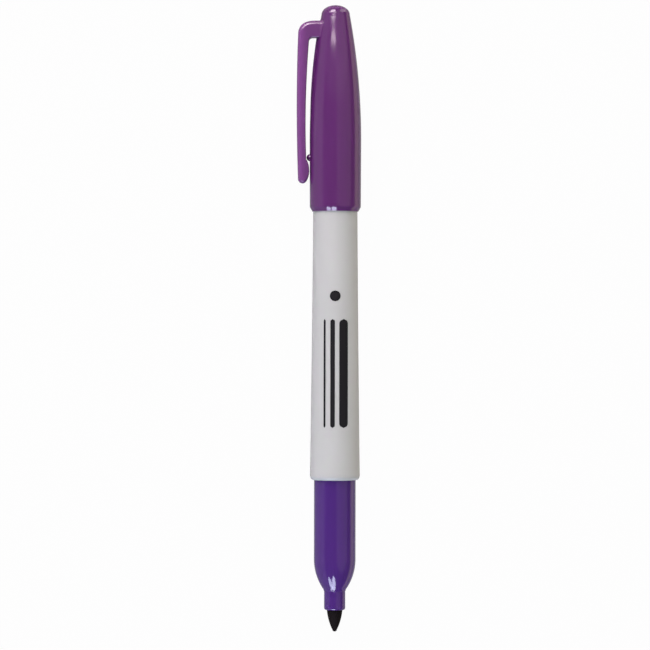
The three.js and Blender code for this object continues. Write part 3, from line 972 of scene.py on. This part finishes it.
class MARKER_OT_section(bpy.types.Operator):
    """Makes the grip section"""

    bl_idname = "marker.section"
    bl_label = "Grip section"

    def execute(self, context):
        piece = placed(section_shell(), "section_moulding", material("section_violet"))
        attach(piece, "marker")
        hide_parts("grip_section")
        return {"FINISHED"}


class MARKER_OT_nib(bpy.types.Operator):
    """Makes the felt nib"""

    bl_idname = "marker.nib"
    bl_label = "Nib"

    def execute(self, context):
        piece = placed(nib_rod(), "felt_tip", material("inked_felt"))
        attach(piece, "marker")
        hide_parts("nib")
        return {"FINISHED"}


class MARKER_OT_filler(bpy.types.Operator):
    """Makes the ink filler, its film and its air tube"""

    bl_idname = "marker.filler"
    bl_label = "Ink filler"

    def execute(self, context):
        parts = (
            (filler_rod(), "fibre_rod", "inked_fibre", "inked_fibre", "ink_filler"),
            (film_tube(), "film_wrap", "film", "clear_film", "filler_film"),
            (air_tube(), "air_tube", "film", "clear_film", "breather_tube"),
        )
        for bm, name, finish, slot, node in parts:
            piece = placed(bm, name, material(finish))
            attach(piece, "marker")
            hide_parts(node)
        return {"FINISHED"}


class MARKER_OT_cap(bpy.types.Operator):
    """Makes the cap"""

    bl_idname = "marker.cap"
    bl_label = "Cap"

    def execute(self, context):
        piece = placed(cap_body(), "cap_moulding", material("cap_purple"))
        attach(piece, "cap")
        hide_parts("cap_shell")
        return {"FINISHED"}


class MARKER_OT_liner(bpy.types.Operator):
    """Makes the sealing cup inside the cap"""

    bl_idname = "marker.liner"
    bl_label = "Inner cap"

    def execute(self, context):
        piece = placed(liner_cup(), "liner_cup", material("milky_liner"))
        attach(piece, "cap")
        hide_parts("inner_cap")
        return {"FINISHED"}


class MARKER_OT_clip(bpy.types.Operator):
    """Makes the clip, which grows out of the cap"""

    bl_idname = "marker.clip"
    bl_label = "Pocket clip"

    def execute(self, context):
        piece = placed(clip_moulding(), "clip_moulding", material("clip_purple_painted_light_and_shade"), sharp=50)
        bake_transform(piece)
        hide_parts("pocket_clip")
        return {"FINISHED"}


class MARKER_OT_studio(bpy.types.Operator):
    """Sets up the floor, lamps, backdrop and camera"""

    bl_idname = "marker.studio"
    bl_label = "Studio"

    def execute(self, context):
        context.scene.view_settings.view_transform = "Standard"
        lay_floor()
        light_room()
        hang_lamps()
        aim_camera()
        return {"FINISHED"}


# Studio

LAMP_DISTANCE = 1.2  # from a lamp to the marker
LAMP_AIM_Y = 75 * MM  # where the lamps point
FLOOR_REACH = 3  # from its middle to each side
FLOOR_GREY = 0.43  # of the floor under the lamps
FLOOR_GLOW = 0.975  # how much of what the eye sees of the floor is plain white, and not that grey
MIRRORED = 0.1  # share of the white that reflections show
BACKDROP_TOP = 0.06  # the slope at which the white backdrop has faded out in reflections
CAMERA_ROLL = 0.1  # in degrees


def lay_floor():
    """A grey floor that glows white to the eye, and still darkens a little under the marker."""
    bm = bmesh.new()
    bmesh.ops.create_grid(bm, x_segments=1, y_segments=1, size=FLOOR_REACH)
    bmesh.ops.translate(bm, verts=bm.verts, vec=(0, 0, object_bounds()[0][2]))
    mesh = bpy.data.meshes.new("floor")
    bm.to_mesh(mesh)
    bm.free()
    floor = bpy.data.objects.new("floor", mesh)
    bpy.context.scene.collection.objects.link(floor)
    floor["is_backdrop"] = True
    surface, tree, shader = new_material("floor_white")
    shader.inputs["Base Color"].default_value = (FLOOR_GREY, FLOOR_GREY, FLOOR_GREY, 1)
    shader.inputs["Roughness"].default_value = 0.9
    shader.inputs["Specular IOR Level"].default_value = 0
    glow = tree.nodes.new("ShaderNodeEmission")
    glow.inputs["Strength"].default_value = 1
    share = tree.nodes.new("ShaderNodeMixShader")
    tree.links.new(combined(tree, "MULTIPLY", seen_directly(tree), FLOOR_GLOW), share.inputs["Fac"])
    tree.links.new(shader.outputs["BSDF"], share.inputs[1])
    tree.links.new(glow.outputs["Emission"], share.inputs[2])
    tree.links.new(share.outputs["Shader"], tree.nodes["Material Output"].inputs["Surface"])
    mesh.materials.append(surface)


def seen_directly(tree):
    """1 to the camera and through clear pieces, less in reflections, and 0 for the light on things."""
    path = tree.nodes.new("ShaderNodeLightPath")
    straight = combined(tree, "MAXIMUM", path.outputs["Is Camera Ray"], path.outputs["Is Transmission Ray"])
    mirrored = combined(tree, "MULTIPLY", path.outputs["Is Glossy Ray"], MIRRORED)
    return combined(tree, "MAXIMUM", straight, mirrored)


def light_room():
    """A dim even room, whose backdrop, low down, is white to the eye."""
    settings = bpy.context.scene.marker_studio
    world = bpy.data.worlds.new("room")
    bpy.context.scene.world = world
    world.use_nodes = True
    tree = world.node_tree
    background = tree.nodes["Background"]
    place = tree.nodes.new("ShaderNodeTexCoord")
    parts = tree.nodes.new("ShaderNodeSeparateXYZ")
    tree.links.new(place.outputs["Generated"], parts.inputs["Vector"])
    low_down = spread(tree, parts.outputs["Z"], 1, 0, 0, BACKDROP_TOP)
    path = tree.nodes.new("ShaderNodeLightPath")
    backdrop = combined(tree, "MULTIPLY", low_down, seen_directly(tree))
    white = combined(tree, "MAXIMUM", backdrop, path.outputs["Is Camera Ray"])
    strength = spread(tree, white, settings.sky, 1, 0, 1)
    tree.links.new(strength, background.inputs["Strength"])
    background.inputs["Color"].default_value = (1, 1, 1, 1)


def camera_axes():
    """The photograph's right, up and backward directions: square to the marker and to the clip's side."""
    turn = LAY_DOWN.to_3x3()
    return turn @ Vector((1, 0, 0)), turn @ Vector((0, 1, 0)), turn @ Vector((0, 0, 1))


def lamp(name, up, aside, half_height, half_width, radiance, tint, diffuse=True, glossy=True):
    """A soft oval lamp, placed by the angles in degrees at which the marker sees it from the camera's line.

    One that isn't diffuse only shows in reflections, and one that isn't glossy shows in none.
    """
    right, top, back = camera_axes()
    tilt, swing = math.radians(up), math.radians(aside)
    level = back * math.cos(swing) + right * math.sin(swing)
    direction = level * math.cos(tilt) + top * math.sin(tilt)
    data = bpy.data.lights.new(name, "AREA")
    data.shape = "ELLIPSE"
    data.size = 2 * LAMP_DISTANCE * math.tan(math.radians(half_width))
    data.size_y = 2 * LAMP_DISTANCE * math.tan(math.radians(half_height))
    area = math.pi / 4 * data.size * data.size_y
    data.energy = math.pi * radiance * area
    data.color = tint
    box = bpy.data.objects.new(name, data)
    middle = LAY_DOWN @ Vector((0, LAMP_AIM_Y, 0))
    across = top.cross(direction).normalized()
    turn = Matrix((across, direction.cross(across), direction)).transposed()
    box.matrix_world = Matrix.Translation(middle + direction * LAMP_DISTANCE) @ turn.to_4x4()
    box.visible_camera = False
    box.visible_diffuse = diffuse
    box.visible_glossy = glossy
    bpy.context.scene.collection.objects.link(box)


def hang_lamps():
    """Lamps off the cap's end, off the nib's end and to the right."""
    lamp("dome_light", 60, -31, 14, 16, 12.5, (1.0, 0.87, 0.95))
    lamp("cap_end_light", 36, -26, 8.4, 24, 6.6, (1.0, 0.86, 0.92))
    lamp("cap_end_glint", 38, -33, 9, 32, 6.5, (1.0, 0.88, 0.92), diffuse=False)
    lamp("cap_end_strip", 24.75, -14, 1.3, 16, 7.6, (1.0, 0.84, 0.9))
    lamp("cap_end_fill", 45, 5, 32, 58, 0.2, (1.0, 0.9, 0.92))
    lamp("nib_end_right", -60, -9, 18.5, 8.8, 11.3, (0.73, 0.78, 1.0))
    lamp("nib_end_left", -59, -43, 17.5, 7.8, 10.3, (0.73, 0.78, 1.0))
    lamp("right_fill", 15, 40, 45, 34, 0.3, (1.0, 0.86, 0.84))
    lamp("right_soft", 0, 72, 20, 15, 1.1, (1.0, 0.97, 0.96), glossy=False)
    lamp("right_high", 50, 88, 16, 30, 2.0, (1.0, 0.93, 0.88))
    lamp("right_edge", 0, 109, 55, 12, 0.85, (1.0, 0.8, 0.68))


def aim_camera():
    """A long lens square to the marker, framed as the photograph is."""
    settings = bpy.context.scene.marker_studio
    right, top, back = camera_axes()
    data = bpy.data.cameras.new("camera")
    data.sensor_width = 36
    data.lens = data.sensor_width * settings.distance / settings.view_width
    data.clip_start = 0.01
    data.clip_end = 20
    camera = bpy.data.objects.new("camera", data)
    bpy.context.scene.collection.objects.link(camera)
    middle = LAY_DOWN @ Vector((-settings.centre_aside, settings.centre_along, 0))
    turn = Matrix((right, top, back)).transposed().to_4x4()
    roll = Matrix.Rotation(math.radians(CAMERA_ROLL), 4, "Z")
    camera.matrix_world = Matrix.Translation(middle + back * settings.distance) @ turn @ roll
    bpy.context.scene.camera = camera


# Panel and registration

class MARKER_PT_pieces(bpy.types.Panel):
    """Lists the marker's pieces and their sizes"""

    bl_label = "Permanent Marker"
    bl_space_type = "VIEW_3D"
    bl_region_type = "UI"
    bl_category = "Marker"

    def draw(self, context):
        for operator in OPERATORS:
            self.layout.operator(operator.bl_idname)
        for group in (context.scene.marker_barrel, context.scene.marker_cap, context.scene.marker_finishes):
            box = self.layout.box()
            for name in group.bl_rna.properties.keys():
                if name not in {"rna_type", "name"}:
                    box.prop(group, name)


GROUPS = {
    "marker_barrel": BarrelSizes,
    "marker_cap": CapSizes,
    "marker_finishes": Finishes,
    "marker_studio": StudioSettings,
}
OPERATORS = (
    MARKER_OT_barrel,
    MARKER_OT_marks,
    MARKER_OT_section,
    MARKER_OT_nib,
    MARKER_OT_filler,
    MARKER_OT_cap,
    MARKER_OT_liner,
    MARKER_OT_clip,
    MARKER_OT_studio,
)


def register():
    for name, group in GROUPS.items():
        bpy.utils.register_class(group)
        setattr(bpy.types.Scene, name, PointerProperty(type=group))
    for cls in (*OPERATORS, MARKER_PT_pieces):
        bpy.utils.register_class(cls)


def unregister():
    for cls in (MARKER_PT_pieces, *reversed(OPERATORS)):
        bpy.utils.unregister_class(cls)
    for name, group in reversed(GROUPS.items()):
        delattr(bpy.types.Scene, name)
        bpy.utils.unregister_class(group)


def main():
    register()
    bpy.ops.marker.barrel()
    bpy.ops.marker.marks()
    bpy.ops.marker.section()
    bpy.ops.marker.nib()
    bpy.ops.marker.filler()
    bpy.ops.marker.cap()
    bpy.ops.marker.liner()
    bpy.ops.marker.clip()
    bpy.ops.marker.studio()


if __name__ == "__main__":
    main()
